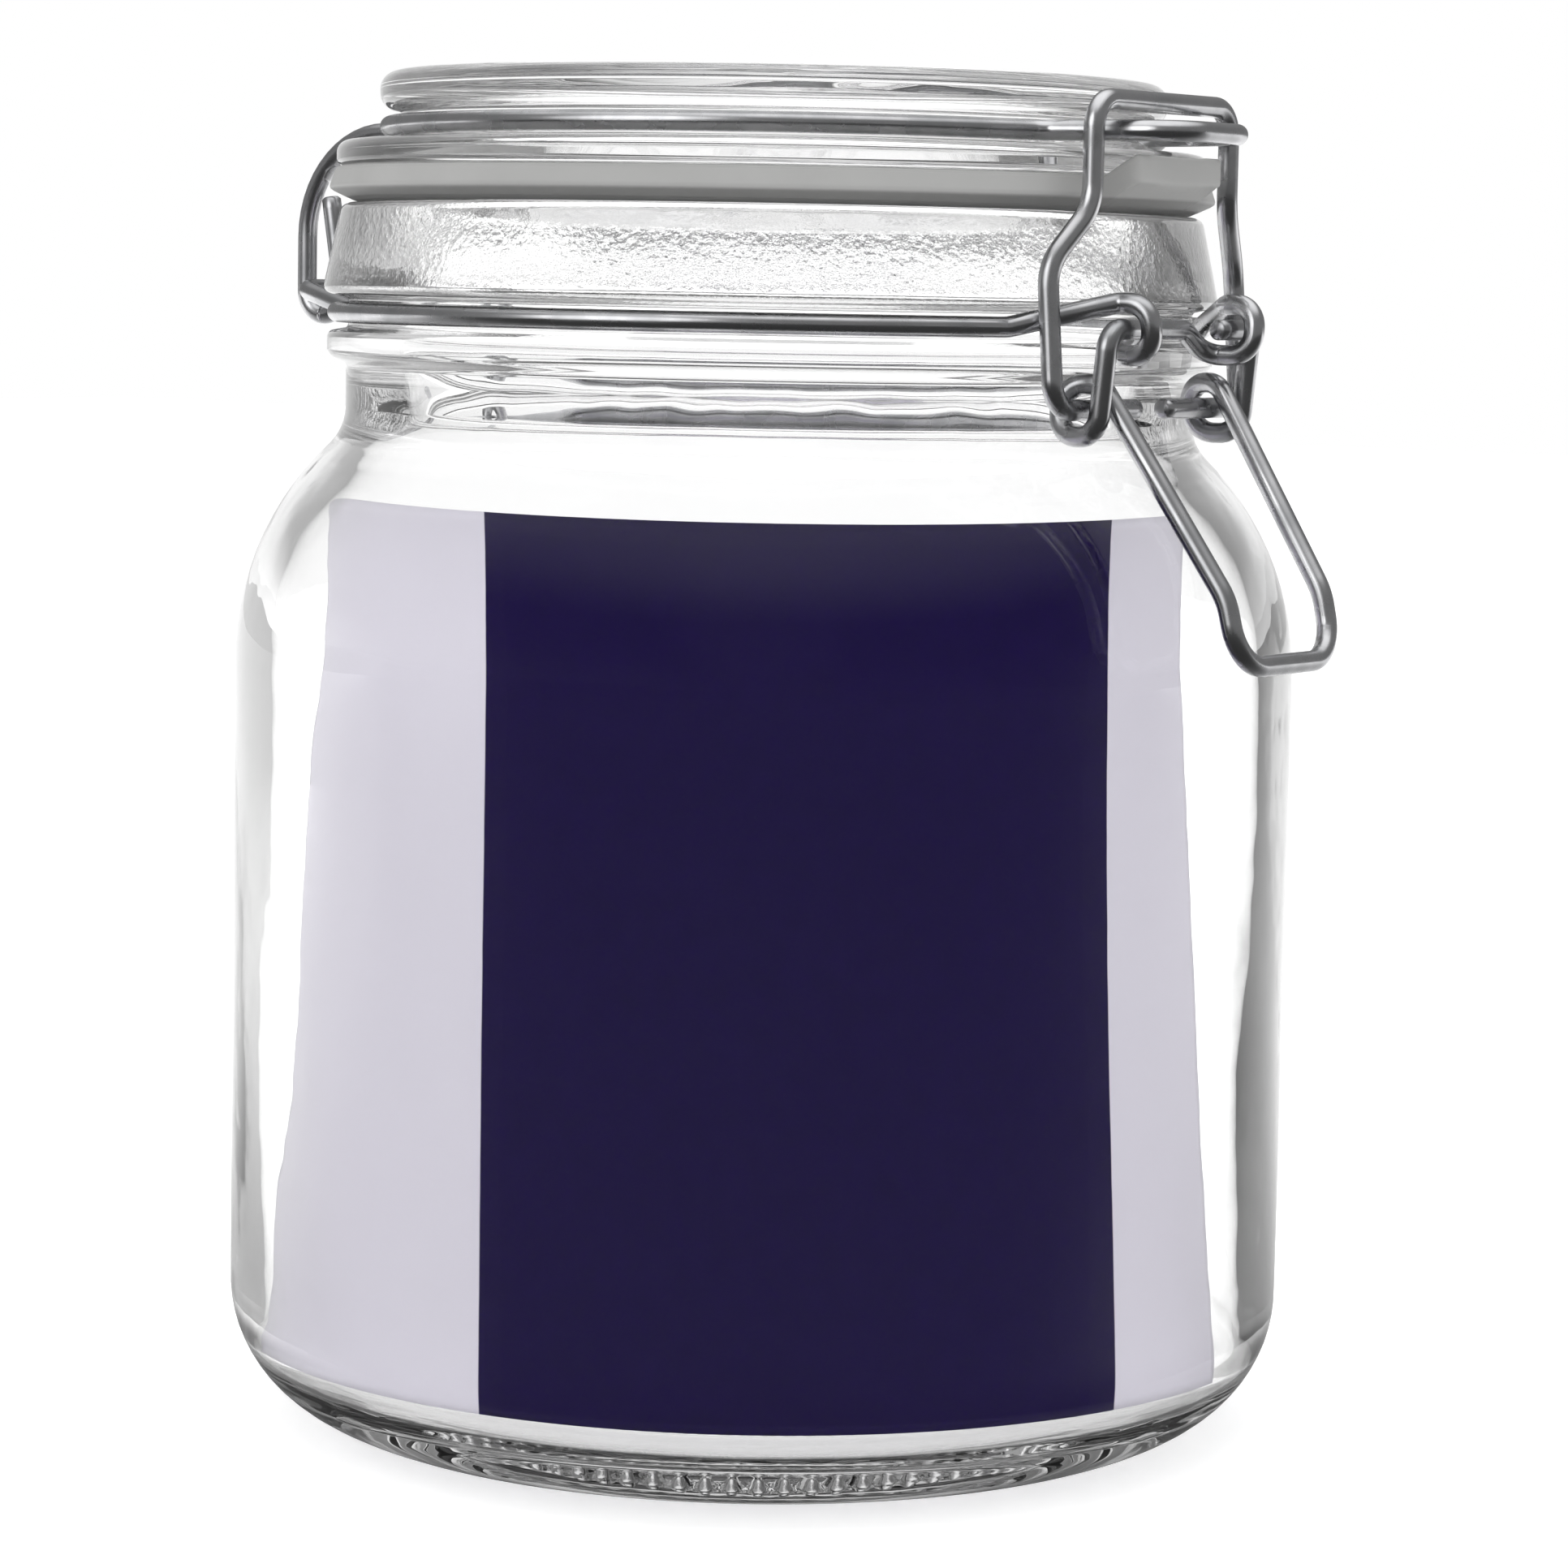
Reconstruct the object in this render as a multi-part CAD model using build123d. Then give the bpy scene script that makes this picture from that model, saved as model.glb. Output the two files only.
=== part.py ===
import os
from math import cos, radians, sin, sqrt, tan

from build123d import *

# Clip-top glass storage jar of about one litre, closed and latched.
# The origin is on the jar's axis at the base, +Z is up, the latch faces -Y and the hinge faces +Y.
# All sizes are in millimetres.

# Glass jar
body_diameter = 118.0
rim_height = 134.7
neck_below_rim = 24.7
glass_wall = 4.0
floor_thickness = 6.4
inner_heel_radius = 4.5
heel_radius = 15.0
shoulder_roundness = 2.75
neck_roundness = 0.5
inner_shoulder_roundness = 1.9
inner_neck_roundness = 1.36
foot_diameter = 74.0
push_up_height = 2.2
push_up_slope = 6.0
neck_diameter = 94.0
mouth_diameter = 82.0
bead_diameter = 98.2
bead_height = 3.6
band_diameter = 99.4
rim_diameter = 95.2
rim_edge_radius = 1.2
groove_depth = 2.3
groove_width = 3.2
groove_slope = 0.5
groove_below_rim = 12.0
push_up_blend_radius = 4.0
foot_blend_radius = 3.0
band_edge_radius = 1.0
bead_edge_radius = 1.2
glass_corner_radius = 0.8
groove_corner_radius = 0.4
shoulder_half_angle = 22.5

# Glass lid
lid_top_diameter = 87.0
lid_top_thickness = 4.4
lid_top_edge_radius = 1.9
lid_recess_diameter = 74.0
lid_recess_depth = 1.6
lid_flange_diameter = 96.4
lid_flange_thickness = 2.8
lid_plate_thickness = 4.8
lid_plug_taper = 3.0
lid_plug_depth = 3.8
lid_skirt_thickness = 3.0
lid_in_mouth_clearance = 0.8
lid_recess_floor_radius = 1.5
lid_recess_edge_radius = 1.2
lid_groove_top_radius = 0.3
lid_flange_edge_radius = 1.4
lid_plug_edge_radius = 1.0
lid_ceiling_radius = 5.0

# Rubber gasket
gasket_diameter = 98.0
gasket_thickness = 3.7
gasket_edge_slope = 0.8
gasket_bevel_height = 1.3
gasket_bevel_depth = 2.8
gasket_edge_radius = 0.5
gasket_on_rim_gap = 0.2
gasket_on_lid_gap = 0.1
gasket_on_plug_clearance = 0.4
tab_width = 17.0
tab_reach = 53.0
tab_thickness = 3.0
tab_rise = 2.4
tab_bend_outset = 0.2
tab_corner_radius = 3.0
tab_overlap = 3.0

# Wires
wire_diameter = 2.2
wire_in_groove_gap = 0.1
loop_clearance = 0.5
wire_passing_gap = 0.4
bend_radius = 3.0

# Hinge at the back
hinge_bar_reach = 56.5
hinge_bar_half = 14.5
hinge_bar_rise = 2.4
hinge_leg_offset = 10.5
hinge_leg_bend_radius = 12.0
hinge_end_rise = 10.6
hinge_end_lean = 2.4
hinge_jog_angle = 30.0
hinge_jog_run = 6.0
lid_hinge_angle = 20.0
lid_hinge_run = 4.0
lid_hinge_root_radius = 2.4
hook_clearance = 0.6
hook_slack = 0.2

# Latch at the front
lever_pivot_reach = 53.4
bail_pivot_inset = 3.8
bail_pivot_drop = 8.4
eye_offset = 10.0
eye_leave_angle = 27.0
eye_leave_run = 3.0
eye_bridge_reach = 50.8
eye_bridge_half = 4.6
eye_lead_in = 1.0
eye_turns = (0.1, 0.3, 0.6)
eye_corner_radii = (1.8, 2.5, 2.5, 2.3)
bump_reach = 57.0
bump_half = 6.8
bump_corner_radius = 5.0
bump_leave_angle = 24.0
bump_leave_run = 8.0
bump_level_share = 0.392
bump_root_inset = 0.9
bail_bar_outset = 2.6
bail_bar_gap = 0.9
bail_top_half = 13.4
bail_knee_height = 20.8
bail_knee_drop = 6.0
bail_knee_inset = 2.0
bail_beside_coil_gap = 2.0
bail_knee_radius = 6.0
bail_stub_tip = 2.6
handle_stand_off = 8.2
handle_half = 9.6
handle_drop = 34.2
handle_knee_inset = 1.6
handle_knee_rise = 6.9
handle_knee_radius = 8.0
handle_corner_radius = 4.6
handle_splay = 0.2
lever_tip = 7.2
coil_beside_eye_gap = 1.2
coil_turns = (0.35, 0.7)
coil_leave_share = 0.53
coil_corner_radii = (2.2, 2.6, 2.6, 2.6, 2.5)

# Paper label standing inside the jar
paper_thickness = 0.3
paper_gap = 0.3
label_height = 91.5
label_start_angle = 145.0
label_sweep = 133.0
label_stand_share = 0.85

wire_radius = wire_diameter / 2
body_radius = body_diameter / 2
bore_radius = mouth_diameter / 2
neck_radius = neck_diameter / 2
bore_body_radius = body_radius - glass_wall


def spun(corners, radii):
    # A turned solid: an outline of straight runs with rounded corners, closed along the axis.
    outline = FilletPolyline(*corners, radius=radii)
    closing = Line(outline @ 1, outline @ 0)
    return revolve(Plane.XZ * make_face(outline.edges() + closing.edges()), Axis.Z)


def drawn(path):
    # A round wire drawn along a path.
    section = Plane(path @ 0, z_dir=path % 0) * Circle(wire_radius)
    return sweep(section, path=path)


def mirrored_pair(half):
    # Both halves of a wire that is symmetric about the plane X = 0, as one solid.
    return half + mirror(half, about=Plane.YZ)


def latch_point(offset, reach, height):
    return Vector(offset, -reach, height)


def hinge_point(offset, reach, height):
    return Vector(offset, reach, height)


def on_circle(radius, angle, height):
    return Vector(radius * cos(radians(angle)), radius * sin(radians(angle)), height)


def along_circle(angle):
    # The clockwise direction of travel along a circle, seen from above.
    return Vector(sin(radians(angle)), -cos(radians(angle)), 0)


# Jar: the 45 degree shoulder runs between two corners, which the blends round off.
groove_floor_radius = bead_diameter / 2 - groove_depth
groove_center_height = rim_height - groove_below_rim
groove_low = groove_center_height - groove_width / 2
groove_high = groove_center_height + groove_width / 2
shoulder_step = body_radius - neck_radius
neck_corner_height = rim_height - neck_below_rim
shoulder_corner_height = neck_corner_height - shoulder_step
shoulder_radius = shoulder_roundness * shoulder_step
neck_blend_radius = neck_roundness * shoulder_step
inner_shoulder_height = shoulder_corner_height - glass_wall * tan(radians(shoulder_half_angle))
inner_step = bore_body_radius - bore_radius
inner_neck_height = inner_shoulder_height + inner_step
inner_shoulder_radius = inner_shoulder_roundness * inner_step
inner_neck_radius = inner_neck_roundness * inner_step
foot_radius = foot_diameter / 2

jar_outline = [
    ((0, push_up_height), None),
    ((foot_radius - push_up_slope, push_up_height), push_up_blend_radius),
    ((foot_radius, 0), foot_blend_radius),
    ((body_radius, 0), heel_radius),
    ((body_radius, shoulder_corner_height), shoulder_radius),
    ((neck_radius, neck_corner_height), neck_blend_radius),
    ((neck_radius, groove_low - bead_height - groove_slope), glass_corner_radius),
    ((bead_diameter / 2, groove_low - bead_height + groove_slope), bead_edge_radius),
    ((bead_diameter / 2, groove_low - groove_slope), glass_corner_radius),
    ((groove_floor_radius, groove_low), groove_corner_radius),
    ((groove_floor_radius, groove_high), groove_corner_radius),
    ((band_diameter / 2, groove_high + groove_slope), band_edge_radius),
    ((rim_diameter / 2, rim_height), rim_edge_radius),
    ((bore_radius, rim_height), rim_edge_radius),
    ((bore_radius, inner_neck_height), inner_neck_radius),
    ((bore_body_radius, inner_shoulder_height), inner_shoulder_radius),
    ((bore_body_radius, floor_thickness), inner_heel_radius),
    ((0, floor_thickness), None),
]
glass_jar = spun([c for c, r in jar_outline], [r for c, r in jar_outline if r])

# Lid: flange on the gasket, wire groove above it, top disc with a shallow recess, plug below.
gasket_low = rim_height + gasket_on_rim_gap
gasket_high = gasket_low + gasket_thickness
flange_low = gasket_high + gasket_on_lid_gap
flange_high = flange_low + lid_flange_thickness
lid_groove_high = flange_high + groove_width
lid_groove_radius = lid_top_diameter / 2 - groove_depth
lid_wire_height = (flange_high + lid_groove_high) / 2
lid_top = lid_groove_high + lid_top_thickness
recess_height = lid_top - lid_recess_depth
recess_radius = lid_recess_diameter / 2
plug_radius = bore_radius - lid_in_mouth_clearance
plug_low = rim_height - lid_plug_depth
plug_low_radius = plug_radius - lid_plug_taper
skirt_radius = plug_low_radius - lid_skirt_thickness
ceiling_height = recess_height - lid_plate_thickness

lid_outline = [
    ((0, recess_height), None),
    ((recess_radius - lid_recess_depth, recess_height), lid_recess_floor_radius),
    ((recess_radius, lid_top), lid_recess_edge_radius),
    ((lid_top_diameter / 2, lid_top), lid_top_edge_radius),
    ((lid_top_diameter / 2, lid_groove_high + groove_slope), lid_top_edge_radius),
    ((lid_groove_radius, lid_groove_high), lid_groove_top_radius),
    ((lid_groove_radius, flange_high), groove_corner_radius),
    ((lid_flange_diameter / 2, flange_high), lid_flange_edge_radius),
    ((lid_flange_diameter / 2, flange_low), glass_corner_radius),
    ((plug_radius, flange_low), groove_corner_radius),
    ((plug_radius, rim_height), lid_plug_edge_radius),
    ((plug_low_radius, plug_low), glass_corner_radius),
    ((skirt_radius, plug_low), glass_corner_radius),
    ((skirt_radius, ceiling_height), lid_ceiling_radius),
    ((0, ceiling_height), None),
]
glass_lid = spun([c for c, r in lid_outline], [r for c, r in lid_outline if r])

# Gasket: a flat ring round the lid's plug, with a pull tab that rises out under the latch.
gasket_inner_radius = plug_radius + gasket_on_plug_clearance
gasket_radius = gasket_diameter / 2
gasket_corners = [
    (gasket_inner_radius, gasket_low),
    (gasket_radius - gasket_bevel_depth, gasket_low),
    (gasket_radius, gasket_low + gasket_bevel_height),
    (gasket_radius - gasket_edge_slope, gasket_high),
    (gasket_inner_radius, gasket_high),
]
gasket_outline = FilletPolyline(*gasket_corners, radius=gasket_edge_radius, close=True)
gasket_ring = revolve(Plane.XZ * make_face(gasket_outline.edges()), Axis.Z)
tab_root = gasket_radius - tab_overlap
tab_bend = gasket_radius + tab_bend_outset
tab_low = gasket_low + (gasket_thickness - tab_thickness) / 2
tab_side = Polyline(
    (-tab_root, tab_low),
    (-tab_bend, tab_low),
    (-tab_reach, tab_low + tab_rise),
    (-tab_reach, tab_low + tab_rise + tab_thickness),
    (-tab_bend, tab_low + tab_thickness),
    (-tab_root, tab_low + tab_thickness),
    close=True,
)
tab_blank = extrude(Plane.YZ * make_face(tab_side.edges()), tab_width / 2, both=True)
tab_tips = tab_blank.edges().group_by(Axis.Y)[0].filter_by(Axis.Z)
gasket = gasket_ring + fillet(tab_tips, tab_corner_radius)

# Neck wire: lies in the neck groove, steps out as the hinge bar at the back,
# and turns into two eyes at the front that carry the lever.
neck_wire_radius = groove_floor_radius + wire_in_groove_gap + wire_radius
neck_wire_height = groove_center_height
hinge_bar_height = neck_wire_height + hinge_bar_rise
lever_pivot_height = neck_wire_height
eye_radius = wire_diameter + loop_clearance
eye_high = lever_pivot_height + eye_radius
eye_low = lever_pivot_height - eye_radius
eye_near = lever_pivot_reach - eye_radius
eye_far = lever_pivot_reach + eye_radius
eye_pitch = wire_diameter + wire_passing_gap
eye_start = eye_offset + eye_pitch / 3

back_angle = 90 - hinge_jog_angle
front_angle = -90 + eye_leave_angle
back_tangent = on_circle(neck_wire_radius, back_angle, neck_wire_height)
front_tangent = on_circle(neck_wire_radius, front_angle, neck_wire_height)
back_path = FilletPolyline(
    hinge_point(0, hinge_bar_reach, hinge_bar_height),
    hinge_point(hinge_bar_half, hinge_bar_reach, hinge_bar_height),
    back_tangent - along_circle(back_angle) * hinge_jog_run,
    back_tangent,
    radius=bend_radius,
)
groove_path = CenterArc(
    (0, 0, neck_wire_height), neck_wire_radius, back_angle, front_angle - back_angle
)
front_path = FilletPolyline(
    front_tangent,
    front_tangent + along_circle(front_angle) * eye_leave_run,
    latch_point(eye_start, lever_pivot_reach - eye_lead_in, eye_high),
    latch_point(eye_start - eye_pitch * eye_turns[0], eye_far, eye_high),
    latch_point(eye_start - eye_pitch * eye_turns[1], eye_far, eye_low),
    latch_point(eye_start - eye_pitch * eye_turns[2], eye_near, eye_low),
    latch_point(eye_bridge_half, eye_bridge_reach, lever_pivot_height),
    latch_point(0, eye_bridge_reach, lever_pivot_height),
    radius=[bend_radius, *eye_corner_radii, bend_radius],
)
neck_path = Wire(back_path.edges() + groove_path.edges() + front_path.edges())
neck_wire = mirrored_pair(drawn(neck_path))

# Lid wire: lies in the lid groove, reaches out as the bump that the bail pulls down,
# and comes down at the back as two hooks round the hinge bar.
lid_wire_radius = lid_groove_radius + wire_in_groove_gap + wire_radius
hook_radius = wire_diameter + hook_clearance
hook_reach = hinge_bar_reach + hook_radius + hook_slack
hook_low = hinge_bar_height - hook_radius - hook_slack
hook_inner_reach = hinge_bar_reach - hook_radius - hook_slack

bump_angle = -90 + bump_leave_angle
leg_angle = 90 - lid_hinge_angle
bump_tangent = on_circle(lid_wire_radius, bump_angle, lid_wire_height)
leg_tangent = on_circle(lid_wire_radius, leg_angle, lid_wire_height)
bump_root = bump_tangent + along_circle(bump_angle) * bump_leave_run
bump_root_reach = -bump_root.Y
bump_level_reach = bump_root_reach + bump_level_share * (bump_reach - bump_root_reach)
bump_path = FilletPolyline(
    latch_point(0, bump_reach, lid_wire_height),
    latch_point(bump_half, bump_reach, lid_wire_height),
    latch_point(bump_root.X - bump_root_inset, bump_level_reach, lid_wire_height),
    bump_root,
    bump_tangent,
    radius=[bump_corner_radius, bump_corner_radius, bend_radius],
)
lid_groove_path = CenterArc(
    (0, 0, lid_wire_height), lid_wire_radius, bump_angle, leg_angle - bump_angle
)
leg_path = FilletPolyline(
    leg_tangent,
    leg_tangent - along_circle(leg_angle) * lid_hinge_run,
    hinge_point(hinge_leg_offset, hook_reach, lid_wire_height),
    hinge_point(hinge_leg_offset, hook_reach, hook_low),
    hinge_point(hinge_leg_offset, hook_inner_reach, hook_low),
    hinge_point(
        hinge_leg_offset, hook_inner_reach + hinge_end_lean, hinge_bar_height + hinge_end_rise
    ),
    radius=[lid_hinge_root_radius, hinge_leg_bend_radius, hook_radius, hook_radius],
)
lid_path = Wire(bump_path.edges() + lid_groove_path.edges() + leg_path.edges())
lid_wire = mirrored_pair(drawn(lid_path))

# Lever: turns in the eyes, carries the bail in two coils and ends in the finger loop.
bail_pivot_reach = lever_pivot_reach - bail_pivot_inset
bail_pivot_height = lever_pivot_height - bail_pivot_drop
coil_radius = wire_diameter + loop_clearance
coil_pitch = wire_diameter + wire_passing_gap
coil_start = eye_start + wire_diameter + coil_beside_eye_gap
coil_end = coil_start - coil_pitch
coil_outer = bail_pivot_reach + coil_radius
coil_inner = bail_pivot_reach - coil_radius
coil_high = bail_pivot_height + coil_radius
coil_low = bail_pivot_height - coil_radius
handle_height = lever_pivot_height - handle_drop
handle_reach = body_radius + handle_stand_off
handle_knee_reach = handle_reach - handle_knee_inset

lever_path = FilletPolyline(
    latch_point(lever_tip, lever_pivot_reach, lever_pivot_height),
    latch_point(coil_start, lever_pivot_reach, lever_pivot_height),
    latch_point(coil_start, coil_outer, coil_low),
    latch_point(coil_start - coil_pitch * coil_turns[0], coil_inner, coil_low),
    latch_point(coil_start - coil_pitch * coil_turns[1], coil_inner, coil_high),
    latch_point(coil_end, bail_pivot_reach + coil_radius * coil_leave_share, coil_high),
    latch_point(handle_half + handle_splay, handle_knee_reach, handle_height + handle_knee_rise),
    latch_point(handle_half, handle_reach, handle_height),
    latch_point(0, handle_reach, handle_height),
    radius=[*coil_corner_radii, handle_knee_radius, handle_corner_radius],
)
lever = mirrored_pair(drawn(lever_path))

# Bail: its bar lies over the bump of the lid wire, its ends turn in through the coils.
bail_low_half = coil_start + wire_diameter + bail_beside_coil_gap
bail_bar_reach = bump_level_reach + bail_bar_outset
bail_knee_reach = bail_bar_reach - bail_knee_inset
bail_bar_height = lid_wire_height + wire_diameter + bail_bar_gap
knee_height = bail_pivot_height + bail_knee_height

bail_path = FilletPolyline(
    latch_point(0, bail_bar_reach, bail_bar_height),
    latch_point(bail_top_half, bail_bar_reach, bail_bar_height),
    latch_point(bail_top_half, bail_bar_reach, knee_height),
    latch_point(bail_low_half, bail_knee_reach, knee_height - bail_knee_drop),
    latch_point(bail_low_half, bail_pivot_reach, bail_pivot_height),
    latch_point(bail_stub_tip, bail_pivot_reach, bail_pivot_height),
    radius=[bend_radius, bail_knee_radius, bail_knee_radius, bend_radius],
)
bail = mirrored_pair(drawn(bail_path))

# Label: a sheet of paper that leans on the wall, standing on the curve above the floor.
label_low = floor_thickness + inner_heel_radius * label_stand_share
label_high = label_low + label_height
heel_level = inner_heel_radius - (label_low - floor_thickness)
heel_reach = bore_body_radius - inner_heel_radius + sqrt(inner_heel_radius**2 - heel_level**2)
shoulder_start = inner_shoulder_height - inner_shoulder_radius * tan(radians(shoulder_half_angle))
above_shoulder = max(0, label_high - shoulder_start)
shoulder_inset = inner_shoulder_radius - sqrt(inner_shoulder_radius**2 - above_shoulder**2)
label_low_radius = heel_reach - paper_gap
label_high_radius = bore_body_radius - shoulder_inset - paper_gap
label_strip = Polyline(
    (label_low_radius, label_low),
    (label_high_radius, label_high),
    (label_high_radius - paper_thickness, label_high),
    (label_low_radius - paper_thickness, label_low),
    close=True,
)
label_start = Plane.XZ.rotated((0, 0, label_start_angle))
label_insert = revolve(
    label_start * make_face(label_strip.edges()), Axis.Z, revolution_arc=label_sweep
)

os.makedirs("parts", exist_ok=True)
export_step(glass_jar, "parts/glass_jar.step")
export_step(glass_lid, "parts/glass_lid.step")
export_step(gasket, "parts/gasket.step")
export_step(neck_wire, "parts/neck_wire.step")
export_step(lid_wire, "parts/lid_wire.step")
export_step(lever, "parts/lever.step")
export_step(bail, "parts/bail.step")
export_step(label_insert, "parts/label_insert.step")

print("lid top at", round(lid_top, 2), "lid wire at", round(lid_wire_height, 2))
print("lever pivot", round(lever_pivot_reach, 2), round(lever_pivot_height, 2))
print("bail pivot", round(bail_pivot_reach, 2), round(bail_pivot_height, 2))
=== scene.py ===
from math import cos, radians, sin

import bpy
import numpy as np
from mathutils import Matrix, Vector


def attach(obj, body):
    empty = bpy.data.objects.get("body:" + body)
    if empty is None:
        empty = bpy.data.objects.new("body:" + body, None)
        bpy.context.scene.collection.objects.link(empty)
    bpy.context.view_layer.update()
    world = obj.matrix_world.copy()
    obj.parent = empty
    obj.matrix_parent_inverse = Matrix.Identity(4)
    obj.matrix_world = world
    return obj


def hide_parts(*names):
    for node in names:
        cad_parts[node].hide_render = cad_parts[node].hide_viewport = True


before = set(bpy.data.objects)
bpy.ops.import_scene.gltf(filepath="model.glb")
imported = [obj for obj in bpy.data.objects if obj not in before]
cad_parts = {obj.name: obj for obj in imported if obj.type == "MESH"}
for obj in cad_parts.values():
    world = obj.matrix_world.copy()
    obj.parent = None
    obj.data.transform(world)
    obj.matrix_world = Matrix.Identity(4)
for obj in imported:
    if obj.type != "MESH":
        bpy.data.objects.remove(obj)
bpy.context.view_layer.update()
print("frame loaded:", len(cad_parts), "nodes")

mm = 0.001  # every size below is in millimetres, Blender works in metres
fullTurn = 2 * np.pi


def linearColour(hexCode):
    # sRGB hex to linear RGBA: the standard curve, a straight toe and a 2.4 power above it
    channels = np.array([int(hexCode[i:i + 2], 16) for i in (1, 3, 5)]) / 255
    linear = np.where(channels <= 0.04045, channels / 12.92, ((channels + 0.055) / 1.055) ** 2.4)
    return (*linear.tolist(), 1.0)


def addNode(tree, kind, inputs=None, **settings):
    # one node with its settings; an input is a value, or another node's output to link
    node = tree.nodes.new(kind)
    for key, value in settings.items():
        setattr(node, key, value)
    for socket, value in (inputs or {}).items():
        if isinstance(value, bpy.types.NodeSocket):
            tree.links.new(value, node.inputs[socket])
        else:
            node.inputs[socket].default_value = value
    return node


def newMaterial(name):
    material = bpy.data.materials.new(name)
    material.use_nodes = True
    tree = material.node_tree
    tree.nodes.clear()
    output = addNode(tree, "ShaderNodeOutputMaterial")
    return material, tree, output


def putMesh(name, points, quads, triangles=None, uv=None):
    # points in mm become a smooth mesh; uv is one (u, v) row for each face corner, quads first
    faces = quads.tolist() + (triangles.tolist() if triangles is not None else [])
    mesh = bpy.data.meshes.new(name)
    mesh.from_pydata((points * mm).tolist(), [], faces)
    mesh.shade_smooth()
    if uv is not None:
        layer = mesh.uv_layers.new(name="UVMap")
        layer.data.foreach_set("uv", uv.ravel())
    mesh.validate()
    piece = bpy.data.objects.new(name, mesh)
    bpy.context.scene.collection.objects.link(piece)
    return piece


def finishPiece(piece, node, body, slot, *materials):
    for material in materials:
        piece.data.materials.append(material)
    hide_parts(node)
    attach(piece, body)


def roundedLine(corners, radii, steps):
    # straight runs with a circular arc at each inner corner: the arc's centre lies on the corner's
    # bisector at radius / sin(half angle), and steps points go from one tangent point to the other
    corners = np.array(corners, float)
    radii = np.array(radii, float)[:, None]
    inner = corners[1:-1]
    back = corners[:-2] - inner
    ahead = corners[2:] - inner
    back /= np.linalg.norm(back, axis=1, keepdims=True)
    ahead /= np.linalg.norm(ahead, axis=1, keepdims=True)
    half = np.arccos(np.clip((back * ahead).sum(1, keepdims=True), -1, 1)) / 2
    bisector = back + ahead
    bisector /= np.linalg.norm(bisector, axis=1, keepdims=True)
    centre = inner + bisector * radii / np.sin(half)
    start = inner + back * radii / np.tan(half)
    spoke = (start - centre) / radii
    turn = (np.pi - 2 * half) * np.linspace(0, 1, steps)[None, :]
    arcs = centre[:, None] + radii[:, None] * (
        spoke[:, None] * np.cos(turn)[..., None] - back[:, None] * np.sin(turn)[..., None]
    )
    dimensions = corners.shape[1]
    return np.concatenate([corners[:1], arcs.reshape(-1, dimensions), corners[-1:]])


def sampledLine(line, spacing):
    # the line's own points, with more between them so that no step is longer than spacing
    length = np.concatenate([[0], np.cumsum(np.linalg.norm(np.diff(line, axis=0), axis=1))])
    regular = np.linspace(0, length[-1], int(length[-1] / spacing) + 2)
    places = np.sort(np.concatenate([length, regular]))
    closest = spacing * 0.04
    places = places[np.concatenate([[True], np.diff(places) > closest])]
    return np.stack([np.interp(places, length, line[:, i]) for i in range(line.shape[1])], axis=1)


def evenLine(line, spacing, turnStep):
    # points shared out by length and turn together: a step is one unit of length / spacing + turn / turnStep
    # (degrees), so small roundings get their points and wide ones stay true
    line = line[np.append(True, np.linalg.norm(np.diff(line, axis=0), axis=1) > 1e-6)]
    runs = np.diff(line, axis=0)
    turn = np.abs(np.diff(np.unwrap(np.arctan2(runs[:, 1], runs[:, 0]))))
    bend = (np.append(turn, 0) + np.append(0, turn)) / 2
    cost = np.linalg.norm(runs, axis=1) / spacing + np.degrees(bend) / turnStep
    places = np.append(0, np.cumsum(cost))
    even = np.linspace(0, places[-1], int(places[-1]) + 2)
    return np.stack([np.interp(even, places, line[:, i]) for i in range(2)], axis=1)


def turned(name, outline, sides, shape=None):
    # a turned solid: the outline (radius, height) goes round the axis in equal steps, and its two ends,
    # on the axis, close it with fans; shape may move radius and height as functions of the angle
    angle = np.linspace(0, fullTurn, sides, endpoint=False)[None, :]
    radius = np.repeat(outline[1:-1, :1], sides, axis=1)
    height = np.repeat(outline[1:-1, 1:], sides, axis=1)
    if shape is not None:
        radius, height = shape(radius, height, angle)
    rings = len(outline) - 2
    grid = np.stack([radius * np.cos(angle), radius * np.sin(angle), height], axis=2).reshape(-1, 3)
    poles = np.array([[0, 0, outline[0, 1]], [0, 0, outline[-1, 1]]])
    here = np.arange(sides)
    after = np.roll(here, -1)
    row = (np.arange(rings - 1) * sides)[:, None]
    quads = np.stack([row + here, row + after, row + sides + after, row + sides + here], axis=2).reshape(-1, 4)
    firstPole = np.full(sides, rings * sides)
    lastRow = (rings - 1) * sides
    fans = np.concatenate([
        np.stack([firstPole, after, here], axis=1),
        np.stack([firstPole + 1, lastRow + here, lastRow + after], axis=1),
    ])
    return putMesh(name, np.concatenate([grid, poles]), quads, fans)


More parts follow.
